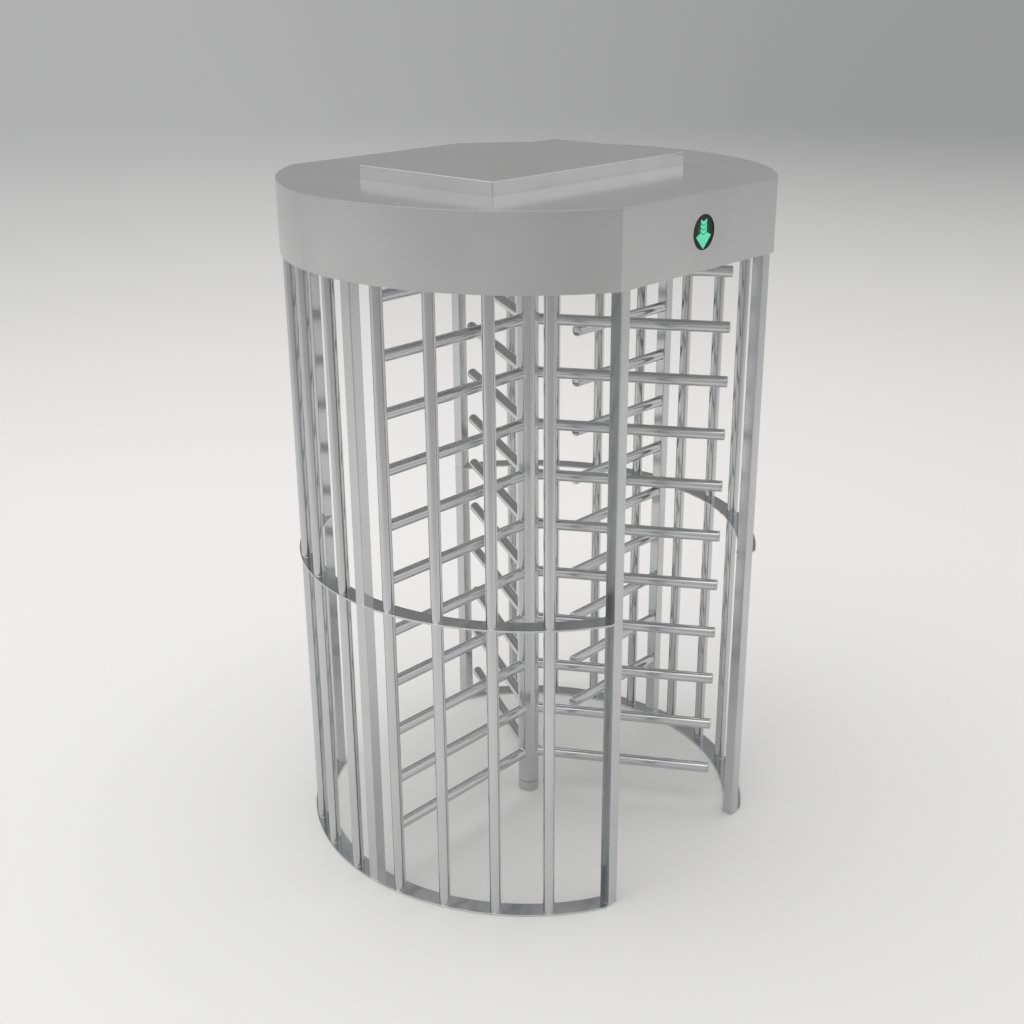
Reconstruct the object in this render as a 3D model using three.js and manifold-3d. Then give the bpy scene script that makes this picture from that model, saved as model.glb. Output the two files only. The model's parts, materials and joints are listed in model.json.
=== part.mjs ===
// Full-height rotor turnstile for counting visitors through a single lane.
// Millimetres, +Z up. The origin is on the floor at the rotor's axis. The entry
// flat of the canopy faces -Y, and the two barred screens stand on -X and +X.
import * as THREE from 'three';
import { mergeVertices } from 'three/addons/utils/BufferGeometryUtils.js';
import Module from 'manifold-3d';

const wasm = await Module();
wasm.setup();

// ---- driving dimensions ----------------------------------------------------
const gap = 0.3; // clearance between touching pieces
const arcSegments = 20; // steps along each large arc

const canopyRadius = 802;
const flatY = 700; // entry and exit flats of the canopy
const canopyTop = 2300;
const canopyBottom = 2068;
const sheet = 2.5; // canopy sheet thickness

const ringOuter = 801;
const ringInner = 738;
const plate = 6; // thickness of the ring plates
const midRingZ = 1034;
const topRingZ = 2076;

const tubeCircle = 779;
const tubeRadius = 19;
const tubeWall = 2;
const firstTubeAngle = 7.7; // degrees from the screen's middle post
const tubePitch = 12.9;
const tubesPerQuarter = 4;

const postSize = 40;
const postWall = 2;
const middlePostX = 779;
const endPostX = 361;
const endPostY = 675;
const postTop = 2280;

const armRadius = 19;
const armWall = 2;
const armCap = 3; // closed free end of each arm
const wingReach = 677.5; // from the rotor's axis to the end of an arm
const armsPerWing = 11;
const topArmZ = 2000;
const armPitch = 184;
const columnRadius = 38;
const coreRadius = 31;
const columnBottom = 40;
const columnTop = 2062;
const combTipX = 256; // free ends of the fixed comb's arms

const coverX = 470; // half sizes of the raised roof cover
const coverY = 285;
const coverTop = 2341;
const coverCorner = 8;

const railY = 170; // centre lines of the two rails that carry the head
const railWidth = 40;
const railHeight = 60;
const headPlateX = 300;
const headPlateY = 215;
const headPlateThickness = 10;

const notches = 12; // in the lock wheel: one every 30 degrees
const lockWheelRadius = 82;
const lockWheelZ = 2200;
const lockWheelThickness = 12;
const gearZ = 2232;
const gearThickness = 10;
const gearModule = 5;
const gearTeeth = 36;
const pinionTeeth = 12;

const indicatorZ = 2184;
const indicatorRadius = 53;
const lensRadius = 51;

// ---- finishes --------------------------------------------------------------
const finish = (color, roughness, metalness) =>
  () => new THREE.MeshStandardMaterial({ color, roughness, metalness });
const stainless = finish(0xb4b6b8, 0.22, 1);
const satinSteel = finish(0xa6a8a9, 0.32, 1);
const machined = finish(0x8f9296, 0.35, 1);
const zincPlate = finish(0xa3a7a6, 0.45, 0.9);
const hardened = finish(0x55585c, 0.4, 1);
const brass = finish(0xb08d47, 0.35, 1);
const blackPlastic = finish(0x151718, 0.5, 0);
const greyPlastic = finish(0x6f7375, 0.55, 0);
const greenLight = finish(0x5af0b4, 0.4, 0);

// ---- solids ----------------------------------------------------------------
function toManifold(geometry) {
  const bare = geometry.clone();
  bare.deleteAttribute('normal');
  bare.deleteAttribute('uv');
  const merged = mergeVertices(bare, 1e-4);
  const triVerts = new Uint32Array(merged.index.array);
  const vertProperties = new Float32Array(merged.attributes.position.array);
  return new wasm.Manifold(new wasm.Mesh({ numProp: 3, vertProperties, triVerts }));
}

function toGeometry(solid) {
  const mesh = solid.getMesh();
  const geometry = new THREE.BufferGeometry();
  geometry.setAttribute('position', new THREE.BufferAttribute(mesh.vertProperties, 3));
  geometry.setIndex(new THREE.BufferAttribute(mesh.triVerts, 1));
  geometry.computeVertexNormals();
  return geometry;
}

const join = (first, ...rest) =>
  toGeometry(rest.reduce((all, one) => all.add(toManifold(one)), toManifold(first)));
const cut = (first, ...rest) =>
  toGeometry(rest.reduce((all, one) => all.subtract(toManifold(one)), toManifold(first)));

// A shape in plan, raised from z to z + height.
function raise(shape, z, height, curveSegments = 12) {
  const options = { depth: height, bevelEnabled: false, curveSegments };
  return new THREE.ExtrudeGeometry(shape, options).translate(0, 0, z);
}

// A round bar that starts at (x, y, z) and runs along one axis.
function bar(radius, length, axis, x, y, z, sides = 16) {
  const geometry = new THREE.CylinderGeometry(radius, radius, length, sides);
  if (axis === 'z') geometry.rotateX(Math.PI / 2).translate(0, 0, length / 2);
  if (axis === 'x') geometry.rotateZ(-Math.PI / 2).translate(length / 2, 0, 0);
  if (axis === 'y') geometry.translate(0, length / 2, 0);
  return geometry.translate(x, y, z);
}

function box(x0, x1, y0, y1, z0, z1) {
  const geometry = new THREE.BoxGeometry(x1 - x0, y1 - y0, z1 - z0);
  return geometry.translate((x0 + x1) / 2, (y0 + y1) / 2, (z0 + z1) / 2);
}

// A body of revolution about Z. The profile is a closed list of [radius, z].
function turned(profile, sides = 32) {
  const points = [...profile, profile[0]].map(([r, z]) => new THREE.Vector2(r, z));
  return new THREE.LatheGeometry(points, sides).rotateX(Math.PI / 2);
}

function roundedRectangle(halfX, halfY, corner) {
  const shape = new THREE.Shape();
  const turn = Math.PI / 2;
  shape.moveTo(halfX, -halfY + corner);
  shape.absarc(halfX - corner, halfY - corner, corner, 0, turn, false);
  shape.absarc(-halfX + corner, halfY - corner, corner, turn, 2 * turn, false);
  shape.absarc(-halfX + corner, -halfY + corner, corner, 2 * turn, 3 * turn, false);
  shape.absarc(halfX - corner, -halfY + corner, corner, 3 * turn, 4 * turn, false);
  return shape;
}

// The canopy's outline: a circle with two parallel flats.
function drumOutline(radius, flat, Path = THREE.Shape) {
  const path = new Path();
  const corner = Math.asin(flat / radius);
  path.absarc(0, 0, radius, -corner, corner, false);
  path.absarc(0, 0, radius, Math.PI - corner, Math.PI + corner, false);
  path.closePath();
  return path;
}

function circlePath(radius, x = 0, y = 0) {
  const path = new THREE.Path();
  path.absarc(x, y, radius, 0, 2 * Math.PI, true);
  return path;
}

// ---- the model -------------------------------------------------------------
const turnstile = new THREE.Group();

function add(name, geometry, material, parent = turnstile) {
  const mesh = new THREE.Mesh(geometry, material());
  mesh.name = name;
  parent.add(mesh);
  return mesh;
}

// ---- screens: posts, tubes and ring plates ---------------------------------
// Each screen is described as the right-hand one, on +X, and turned by half a
// turn for the left-hand one.
const postHalf = postSize / 2;
const endPostOuter = endPostY + postHalf;
const endPostInnerX = endPostX - postHalf;

function postTube(x, y, bottom, top) {
  const outline = roundedRectangle(postHalf, postHalf, 3);
  outline.holes.push(roundedRectangle(postHalf - postWall, postHalf - postWall, 1.5));
  return raise(outline, bottom, top - bottom, 1).translate(x, y, 0);
}

function ringSector(outer) {
  const start = Math.asin(endPostOuter / outer);
  const innerStart = Math.acos(endPostInnerX / ringInner);
  const shape = new THREE.Shape();
  shape.moveTo(endPostInnerX, -endPostOuter);
  shape.absarc(0, 0, outer, -start, start, false);
  shape.lineTo(endPostInnerX, endPostOuter);
  shape.absarc(0, 0, ringInner, innerStart, -innerStart, true);
  shape.closePath();
  return shape;
}

function postSocket(x, y, z) {
  const reach = postHalf + gap;
  return box(x - reach, x + reach, y - reach, y + reach, z - 1, z + plate + 1);
}

const tubeAngles = [];
for (const side of [-1, 1]) {
  for (let i = 0; i < tubesPerQuarter; i += 1) {
    tubeAngles.push(side * (firstTubeAngle + i * tubePitch));
  }
}
tubeAngles.sort((a, b) => a - b);
const tubePlaces = tubeAngles.map((degrees) => {
  const angle = THREE.MathUtils.degToRad(degrees);
  return [tubeCircle * Math.cos(angle), tubeCircle * Math.sin(angle)];
});

// An open tube between the base ring and the top ring.
function uprightTube() {
  const bottom = plate + gap;
  const top = topRingZ - gap;
  const bore = tubeRadius - tubeWall;
  return turned([[bore, bottom], [tubeRadius, bottom], [tubeRadius, top], [bore, top]], 16);
}

// Plates that the posts pass through; the mid plate is pierced by the tubes too.
function ringPlate(z, outer, pierced) {
  const cutters = [[endPostX, -endPostY], [middlePostX, 0], [endPostX, endPostY]]
    .map(([x, y]) => postSocket(x, y, z));
  if (pierced) {
    for (const [x, y] of tubePlaces) {
      cutters.push(bar(tubeRadius + gap, plate + 2, 'z', x, y, z - 1));
    }
  }
  return cut(raise(ringSector(outer), z, plate, arcSegments), ...cutters);
}

// Each arm is a tube that is open where it meets what it is welded to.
const armBore = (length, x, z) => bar(armRadius - armWall, length, 'x', x, 0, z, 12);

function comb() {
  const post = postTube(middlePostX, 0, plate + gap, postTop);
  const length = middlePostX - postHalf + 1 - combTipX;
  const arms = [];
  const bores = [];
  for (let i = 0; i < armsPerWing - 1; i += 1) {
    const z = topArmZ - (i + 0.5) * armPitch;
    arms.push(bar(armRadius, length, 'x', combTipX, 0, z, 12));
    bores.push(armBore(length, combTipX + armCap, z));
  }
  return cut(join(post, ...arms), ...bores);
}

function addScreen(side, turn) {
  const screen = new THREE.Group();
  screen.rotation.z = turn;
  turnstile.add(screen);
  const put = (name, geometry) => add(`${side}_${name}`, geometry, stainless, screen);
  // The half turn swaps front and rear along with left and right.
  const [low, high] = side === 'right' ? ['front', 'rear'] : ['rear', 'front'];
  put(`${low}_post`, postTube(endPostX, -endPostY, plate + gap, postTop));
  put(`${high}_post`, postTube(endPostX, endPostY, plate + gap, postTop));
  if (side === 'right') put('comb_post', comb());
  else put('middle_post', postTube(middlePostX, 0, plate + gap, postTop));
  tubePlaces.forEach(([x, y], i) => {
    const number = side === 'right' ? i + 1 : tubePlaces.length - i;
    put(`tube_${number}`, uprightTube().translate(x, y, 0));
  });
  put('base_ring', raise(ringSector(ringOuter), 0, plate, arcSegments));
  put('mid_ring', ringPlate(midRingZ, ringOuter, true));
  put('top_ring', ringPlate(topRingZ, canopyRadius - sheet - 1, false));
}

addScreen('left', Math.PI);
addScreen('right', 0);

// ---- rotor -----------------------------------------------------------------
const rotor = new THREE.Group();
turnstile.add(rotor);

// One wing: a third of the column's skin with a comb of arms welded to it.
function wing() {
  const edge = THREE.MathUtils.degToRad(60 - 0.3);
  const third = new THREE.Shape();
  third.moveTo(0, 0);
  third.absarc(0, 0, columnRadius, -edge, edge, false);
  third.closePath();
  const skin = raise(third, columnBottom, columnTop - columnBottom, 8);
  const arms = [];
  const bores = [bar(coreRadius + gap, columnTop + 100, 'z', 0, 0, 0, 24)];
  for (let i = 0; i < armsPerWing; i += 1) {
    const start = columnRadius / 2;
    const z = topArmZ - i * armPitch;
    arms.push(bar(armRadius, wingReach - start, 'x', start, 0, z, 12));
    bores.push(armBore(wingReach - start - armCap, start, z));
  }
  return cut(join(skin, ...arms), ...bores);
}

['left', 'front', 'rear'].forEach((place, i) => {
  const mesh = add(`wing_${place}`, wing(), stainless, rotor);
  mesh.rotation.z = THREE.MathUtils.degToRad([180, -60, 60][i]);
});

const headPlateZ = topRingZ + plate + gap + railHeight + gap;
const bearingZ = headPlateZ + headPlateThickness + gap;
const coreTop = 2130;
const coreBore = 26;
const shaftRadius = 20;
const shaftTop = 2256;

add('rotor_core', turned([
  [coreBore, columnBottom], [coreRadius, columnBottom],
  [coreRadius, coreTop], [coreBore, coreTop],
], 24), machined, rotor);

add('rotor_foot', turned([
  [0, 8], [14, 8], [14, columnBottom - gap - 3], [30, columnBottom - gap - 3],
  [30, columnBottom - gap], [coreBore - gap, columnBottom - gap],
  [coreBore - gap, columnBottom + 60], [0, columnBottom + 60],
], 24), hardened, rotor);

add('rotor_head_shaft', turned([
  [0, coreTop - 90], [coreBore - gap, coreTop - 90], [coreBore - gap, coreTop + gap],
  [45, coreTop + gap], [45, coreTop + 8], [shaftRadius, coreTop + 8],
  [shaftRadius, shaftTop], [0, shaftTop],
], 20), machined, rotor);

// A hub with a bore that sits on the head shaft, to be joined to a wheel.
function hub(radius, bottom, top) {
  return turned([
    [shaftRadius + gap, bottom], [radius, bottom],
    [radius, top], [shaftRadius + gap, top],
  ], 24);
}

function lockWheel() {
  const shape = new THREE.Shape();
  const step = (2 * Math.PI) / notches;
  const notchHalf = 8.5 / lockWheelRadius; // half angle of a notch at the rim
  const floorRadius = lockWheelRadius - 15;
  const floorHalf = 7 / floorRadius;
  for (let i = 0; i < notches; i += 1) {
    const middle = i * step;
    shape.absarc(0, 0, lockWheelRadius, middle - step + notchHalf, middle - notchHalf, false);
    shape.absarc(0, 0, floorRadius, middle - floorHalf, middle + floorHalf, false);
  }
  shape.closePath();
  shape.holes.push(circlePath(30));
  const wheel = raise(shape, lockWheelZ, lockWheelThickness, 2);
  return join(wheel, hub(32, lockWheelZ - 10, lockWheelZ + lockWheelThickness));
}

// Trapezoid teeth, slim enough to leave backlash. The first tooth is centred
// on the angle given by phase.
function gearShape(teeth, phase, boreRadius) {
  const pitchRadius = (teeth * gearModule) / 2;
  const step = (2 * Math.PI) / teeth;
  const rows = [
    [pitchRadius - 1.2 * gearModule, -0.3], [pitchRadius + 0.85 * gearModule, -0.1],
    [pitchRadius + 0.85 * gearModule, 0.1], [pitchRadius - 1.2 * gearModule, 0.3],
  ];
  const points = [];
  for (let i = 0; i < teeth; i += 1) {
    for (const [radius, part] of rows) {
      const angle = phase + (i + part) * step;
      points.push(new THREE.Vector2(radius * Math.cos(angle), radius * Math.sin(angle)));
    }
  }
  const shape = new THREE.Shape(points);
  if (boreRadius > 0) shape.holes.push(circlePath(boreRadius));
  return shape;
}

add('lock_wheel', lockWheel(), hardened, rotor);
const driveGear = raise(gearShape(gearTeeth, 0, 30), gearZ, gearThickness, 8);
add('drive_gear', join(driveGear, hub(32, gearZ - 12, gearZ + gearThickness)), brass, rotor);

// ---- bearings --------------------------------------------------------------
add('floor_bearing', turned([
  [0, 0], [columnRadius, 0], [columnRadius, 38.5], [33, 38.5], [33, 34],
  [14.4, 34], [14.4, 7.7], [0, 7.7],
], 24), machined);

add('head_bearing', turned([
  [shaftRadius + 0.4, bearingZ], [72, bearingZ], [72, bearingZ + 12],
  [48, bearingZ + 12], [44, bearingZ + 30], [shaftRadius + 0.4, bearingZ + 30],
], 24), zincPlate);

// ---- head frame ------------------------------------------------------------
function addRail(name, y) {
  const z = topRingZ + plate + gap;
  const length = 1420;
  const profile = new THREE.Shape();
  const half = railWidth / 2;
  const wall = 3;
  profile.moveTo(-half, 0).lineTo(half, 0).lineTo(half, railHeight).lineTo(-half, railHeight);
  const hollow = new THREE.Path();
  hollow.moveTo(-half + wall, wall).lineTo(half - wall, wall);
  hollow.lineTo(half - wall, railHeight - wall).lineTo(-half + wall, railHeight - wall);
  profile.holes.push(hollow);
  const geometry = new THREE.ExtrudeGeometry(profile, { depth: length, bevelEnabled: false });
  geometry.rotateX(Math.PI / 2).rotateZ(Math.PI / 2).translate(-length / 2, y, z);
  add(name, geometry, zincPlate);
}
addRail('front_rail', -railY);
addRail('rear_rail', railY);

const pawlPivot = new THREE.Vector2(95, 107);
const pivotPinRadius = 5;

function headPlate() {
  const outline = roundedRectangle(headPlateX, headPlateY, 12);
  outline.holes.push(circlePath(52));
  const base = raise(outline, headPlateZ, headPlateThickness, 8);
  const pinStart = headPlateZ + headPlateThickness - 1;
  const pins = [1, -1].map((side) => bar(pivotPinRadius, lockWheelZ + 18 - pinStart, 'z',
    side * pawlPivot.x, side * pawlPivot.y, pinStart, 12));
  return join(base, ...pins);
}
add('head_plate', headPlate(), zincPlate);

// ---- canopy ----------------------------------------------------------------
const deck = 2.5;

function canopySkirt() {
  const outline = drumOutline(canopyRadius, flatY);
  outline.holes.push(drumOutline(canopyRadius - sheet, flatY - sheet, THREE.Path));
  const wall = raise(outline, canopyBottom, canopyTop - deck - gap - canopyBottom, arcSegments);
  const window = bar(indicatorRadius + gap, 20, 'y', 0, -flatY - 10, indicatorZ, 32);
  return cut(wall, window);
}
add('canopy_skirt', canopySkirt(), satinSteel);

function roofPanel() {
  const outline = drumOutline(canopyRadius, flatY);
  const opening = raise(roundedRectangle(coverX - 25, coverY - 25, coverCorner),
    canopyTop - deck - 1, deck + 2, 2);
  return cut(raise(outline, canopyTop - deck, deck, arcSegments), opening);
}
add('roof_panel', roofPanel(), satinSteel);

function ceilingPanel() {
  const outline = drumOutline(ringInner - 1, flatY - sheet - 1);
  outline.holes.push(circlePath(60));
  const panel = raise(outline, topRingZ, 3, arcSegments);
  const corners = [];
  for (const x of [-endPostX, endPostX]) {
    for (const y of [-endPostY, endPostY]) corners.push(postSocket(x, y, topRingZ));
  }
  return cut(panel, ...corners);
}
add('ceiling_panel', ceilingPanel(), satinSteel);

function roofCover() {
  const bottom = canopyTop + gap;
  const shell = raise(roundedRectangle(coverX, coverY, coverCorner), bottom, coverTop - bottom, 4);
  const inside = raise(roundedRectangle(coverX - sheet, coverY - sheet, coverCorner - sheet),
    bottom - 1, coverTop - sheet - bottom + 1, 4);
  return cut(shell, inside);
}
add('roof_cover', roofCover(), satinSteel);

// ---- locks: a pawl and a solenoid for each direction -----------------------
const lockSolenoidX = 140;
const pawlThickness = lockWheelThickness;
const pawlBarLow = 100;
const pawlBarHigh = 114;

// The pawl swings about its pivot and drops its tooth into a notch. The tooth
// stands a little past the wheel's centre line, so that it is central when down.
function pawl() {
  const shape = new THREE.Shape();
  const tip = lockWheelRadius + 2.5;
  shape.moveTo(-10, pawlBarHigh).lineTo(-10, pawlBarLow).lineTo(-8, tip).lineTo(0, tip);
  shape.lineTo(3, pawlBarLow).lineTo(155, pawlBarLow).lineTo(155, pawlBarHigh);
  shape.closePath();
  const boss = bar(13, pawlThickness, 'z', pawlPivot.x, pawlPivot.y, lockWheelZ, 16);
  const eye = bar(pivotPinRadius + 0.4, pawlThickness + 2, 'z',
    pawlPivot.x, pawlPivot.y, lockWheelZ - 1, 12);
  return cut(join(raise(shape, lockWheelZ, pawlThickness), boss), eye);
}

const plungerRadius = 6;
const plungerStart = pawlBarHigh + 1.5;
const solenoidStart = 145;
const solenoidEnd = 205;
const plungerZ = lockWheelZ + pawlThickness / 2;

function plunger() {
  return bar(plungerRadius, 60, 'y', lockSolenoidX, plungerStart, plungerZ, 12);
}

function solenoid() {
  const half = 25;
  const body = box(lockSolenoidX - half, lockSolenoidX + half, solenoidStart, solenoidEnd,
    bearingZ, lockWheelZ + 28);
  const barrel = bar(plungerRadius + 0.5, 50, 'y', lockSolenoidX, solenoidStart - 5, plungerZ, 12);
  return cut(body, barrel);
}

[['entry', 0], ['exit', Math.PI]].forEach(([way, turn]) => {
  const lock = new THREE.Group();
  lock.rotation.z = turn;
  turnstile.add(lock);
  add(`${way}_pawl`, pawl(), hardened, lock);
  add(`${way}_plunger`, plunger(), machined, lock);
  add(`${way}_solenoid`, solenoid(), blackPlastic, lock);
});

// ---- counter encoder and damper, geared to the rotor -----------------------
const pinionCentre = ((gearTeeth + pinionTeeth) * gearModule) / 2;

function pinion(x) {
  const step = (2 * Math.PI) / pinionTeeth;
  const facing = x > 0 ? Math.PI : 0; // a tooth space faces the drive gear
  const teeth = raise(gearShape(pinionTeeth, facing + step / 2, 0), gearZ, gearThickness);
  const spindle = bar(6, 10, 'z', 0, 0, gearZ - 9, 12);
  return join(teeth, spindle).translate(x, 0, 0);
}

function geared(name, x, bodyRadius, material) {
  const top = gearZ - 5;
  const body = turned([
    [0, bearingZ], [bodyRadius, bearingZ], [bodyRadius, top],
    [6.5, top], [6.5, top - 6], [0, top - 6],
  ], 20);
  add(`${name}_body`, body.translate(x, 0, 0), material);
  add(`${name}_pinion`, pinion(x), brass);
}
geared('counter', -pinionCentre, 29, blackPlastic);
geared('damper', pinionCentre, 27, machined);

// ---- controller ------------------------------------------------------------
function controller() {
  const z = headPlateZ;
  return raise(roundedRectangle(80, 190, 8), z, 90, 4).translate(-460, 0, 0);
}
add('controller_box', controller(), greyPlastic);

// ---- direction indicator on the entry flat ---------------------------------
const faceUp = (geometry) => geometry.rotateX(Math.PI / 2).translate(0, -flatY, indicatorZ);

function indicatorBezel() {
  const shape = new THREE.Shape();
  shape.absarc(0, 0, indicatorRadius, 0, 2 * Math.PI, false);
  shape.holes.push(circlePath(lensRadius + gap));
  return faceUp(raise(shape, -12, 12, 16));
}

function arrowShape() {
  const shape = new THREE.Shape();
  const points = [[-15, 38], [15, 38], [15, -2], [37.5, -12], [0, -50], [-37.5, -12], [-15, -2]];
  points.forEach(([x, y], i) => (i ? shape.lineTo(x, y) : shape.moveTo(x, y)));
  shape.closePath();
  return shape;
}

add('indicator_bezel', indicatorBezel(), blackPlastic);
add('indicator_lens', faceUp(raise(
  new THREE.Shape().absarc(0, 0, lensRadius, 0, 2 * Math.PI, false), -8, 6, 16)), blackPlastic);
add('indicator_arrow', faceUp(raise(arrowShape(), -2 + gap, 1.2)), greenLight);

export default turnstile;
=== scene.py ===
"""Full-height visitor turnstile: fine meshes, node materials, light and camera.

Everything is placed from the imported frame. Metres, +Z up, the rotor's axis
stands at the origin, and the entry flat of the canopy faces -Y.
"""

import json
import math

import bmesh
import bpy
from mathutils import Matrix, Vector
from mathutils.geometry import tessellate_polygon


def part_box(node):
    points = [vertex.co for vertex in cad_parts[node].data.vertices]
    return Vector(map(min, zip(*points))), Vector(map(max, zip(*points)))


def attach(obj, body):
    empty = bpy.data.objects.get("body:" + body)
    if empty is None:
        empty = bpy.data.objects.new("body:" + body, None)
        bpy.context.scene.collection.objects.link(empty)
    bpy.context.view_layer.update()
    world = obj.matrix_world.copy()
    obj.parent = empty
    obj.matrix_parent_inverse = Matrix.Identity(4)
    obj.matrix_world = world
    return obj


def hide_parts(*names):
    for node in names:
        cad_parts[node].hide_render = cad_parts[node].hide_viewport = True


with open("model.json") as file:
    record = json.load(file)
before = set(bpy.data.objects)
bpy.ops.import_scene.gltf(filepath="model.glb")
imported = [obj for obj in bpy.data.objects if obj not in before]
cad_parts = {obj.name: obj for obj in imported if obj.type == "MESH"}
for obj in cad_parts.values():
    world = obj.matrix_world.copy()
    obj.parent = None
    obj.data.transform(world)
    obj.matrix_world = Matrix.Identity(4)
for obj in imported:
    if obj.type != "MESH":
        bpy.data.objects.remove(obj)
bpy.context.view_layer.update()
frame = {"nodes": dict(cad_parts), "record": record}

MM = 0.001


# ---- sizes: the frame's own, and details finer than it holds ------------------
def span(node):
    """Size of a CAD node's box."""
    low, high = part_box(node)
    return high - low


def middle(node):
    """Centre of a CAD node's box."""
    low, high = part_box(node)
    return (low + high) / 2


PLATE = span("right_base_ring").z
RING_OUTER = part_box("right_base_ring")[1].x
RING_HALF_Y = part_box("right_base_ring")[1].y
RING_END_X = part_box("right_base_ring")[0].x
RING_WIDTH = 63 * MM
RING_INNER = RING_OUTER - RING_WIDTH
MID_RING_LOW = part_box("right_mid_ring")[0].z
TOP_RING_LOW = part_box("right_top_ring")[0].z
TOP_RING_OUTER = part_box("right_top_ring")[1].x

TUBE_RADIUS = span("right_tube_1").x / 2
POST_HALF = span("right_front_post").x / 2
POST_CORNER = 3 * MM
POST_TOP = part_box("right_front_post")[1].z
WELD = 1.2 * MM  # fillet where an upright meets a ring plate
BEAD = 2.6 * MM  # weld round the root of an arm

COLUMN_RADIUS = span("floor_bearing").x / 2
COLUMN_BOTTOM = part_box("wing_left")[0].z
COLUMN_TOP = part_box("wing_left")[1].z
COLUMN_BORE = span("rotor_core").x / 2
WING_REACH = -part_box("wing_left")[0].x
WING_ANGLES = {"wing_left": 180, "wing_front": -60, "wing_rear": 60}
ARMS_PER_WING = 11
TOP_ARM_Z = 2000 * MM
ARM_PITCH = 184 * MM
PLUG_LENGTH = 9 * MM
COMB_TIP_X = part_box("right_comb_post")[0].x
COMB_POST_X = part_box("right_comb_post")[1].x - POST_HALF

DRUM_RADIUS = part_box("canopy_skirt")[1].x
DRUM_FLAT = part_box("canopy_skirt")[1].y
SKIRT_BOTTOM, SKIRT_TOP = (corner.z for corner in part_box("canopy_skirt"))
SHEET = 2.5 * MM
SHEET_EDGE = 0.6 * MM
SHEET_CREASE = 25  # degrees above which a sheet's edge stays sharp
DECK_LOW, DECK_TOP = (corner.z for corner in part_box("roof_panel"))
COVER_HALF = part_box("roof_cover")[1].xy
COVER_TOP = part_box("roof_cover")[1].z
COVER_CORNER = 8 * MM
COVER_ROLL = 2 * MM
COVER_REBATE = 25 * MM  # from the cover's side in to the opening under it

LENS_RADIUS = span("indicator_lens").x / 2
BEZEL_RADIUS = span("indicator_bezel").x / 2
INDICATOR_Z = middle("indicator_bezel").z
BEZEL_LIP = 0.8 * MM  # how far the bezel stands proud of the skirt
BEZEL_DEPTH = 12 * MM

CEILING_HOLE = 60 * MM
HEAD_PLATE = 10 * MM  # the plate's thickness
RAIL_BOLT_PLACES = (-265, -60, 60, 265)  # along X, in millimetres
RAIL_BOLT = 13 * MM
LID_SCREW = 6 * MM
LID_THICK = 3 * MM
GLAND_PITCH = 60 * MM


# ---- meshes --------------------------------------------------------------------
class Shell:
    """Points and faces of one piece. Worn faces are its rounded edges."""

    def __init__(self):
        self.points = []
        self.faces = []
        self.worn = []

    def face(self, corners, worn=False):
        self.faces.append(tuple(corners))
        self.worn.append(1.0 if worn else 0.0)

    def skin(self, rows, loop=False, worn=()):
        """Quads between rows of points, each a closed ring. Loop joins the last row to
        the first. Worn holds the numbers of worn strips."""
        numbered = []
        for row in rows:
            start = len(self.points)
            self.points.extend(row)
            numbered.append(range(start, start + len(row)))
        pairs = list(zip(numbered, numbered[1:]))
        if loop:
            pairs.append((numbered[-1], numbered[0]))
        for strip, (low, high) in enumerate(pairs):
            count = len(low)
            for i in range(count):
                j = (i + 1) % count
                self.face((low[i], low[j], high[j], high[i]), strip in worn)
        return numbered

    def fill(self, *loops):
        """A flat face bounded by the first loop, with the other loops as holes."""
        numbers = [n for loop in loops for n in loop]
        outlines = [[self.points[n] for n in loop] for loop in loops]
        for triangle in tessellate_polygon(outlines):
            self.face(numbers[k] for k in triangle)

    def move(self, matrix, start=0):
        """Moves the points from number start onward."""
        for k in range(start, len(self.points)):
            self.points[k] = matrix @ Vector(self.points[k])

    def piece(self, name, grain=None, smooth_below=38):
        """The finished object. Grain gives each point's place among the polishing
        lines, and edges sharper than smooth_below degrees stay sharp."""
        data = bpy.data.meshes.new(name)
        data.from_pydata([tuple(p) for p in self.points], [], self.faces)
        data.attributes.new("wear", "FLOAT", "FACE").data.foreach_set("value", self.worn)
        work = bmesh.new()
        work.from_mesh(data)
        bmesh.ops.remove_doubles(work, verts=work.verts, dist=1e-6)
        bmesh.ops.recalc_face_normals(work, faces=work.faces)
        work.to_mesh(data)
        work.free()
        data.polygons.foreach_set("use_smooth", [True] * len(data.polygons))
        data.set_sharp_from_angle(angle=math.radians(smooth_below))
        lines = data.attributes.new("grain", "FLOAT_VECTOR", "POINT")
        place = grain or (lambda point: point)
        flat = [value for vertex in data.vertices for value in place(vertex.co)]
        lines.data.foreach_set("vector", flat)
        item = bpy.data.objects.new(name, data)
        bpy.context.scene.collection.objects.link(item)
        weighted = item.modifiers.new("weighted", "WEIGHTED_NORMAL")
        weighted.keep_sharp = True
        weighted.weight = 80
        return item


EDGE_STEPS = 3


def rounding(low, high, edge):
    """(inset, height) pairs up a side whose two ends are rounded over edge."""
    turns = [math.pi / 2 * k / EDGE_STEPS for k in range(EDGE_STEPS + 1)]
    rise = [(edge * (1 - math.sin(t)), edge * (1 - math.cos(t))) for t in turns]
    lower = [(inset, low + up) for inset, up in rise]
    upper = [(inset, high - up) for inset, up in reversed(rise)]
    return lower + upper


def rounded_strips(side):
    """The numbers of the strips that round the two ends of a side."""
    return set(range(len(side) - 1)) - {EDGE_STEPS}


def raised(shell, outline, low, high, edge, holes=()):
    """A plate: outline(inset) raised from low to high, with round edges and holes."""
    side = rounding(low, high, edge)
    loops = []
    for shape, sign in [(outline, 1)] + [(hole, -1) for hole in holes]:
        rows = [[Vector((x, y, z)) for x, y in shape(sign * inset)] for inset, z in side]
        loops.append(shell.skin(rows, worn=rounded_strips(side)))
    shell.fill(*(rows[0] for rows in loops))
    shell.fill(*(rows[-1] for rows in loops))


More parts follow.
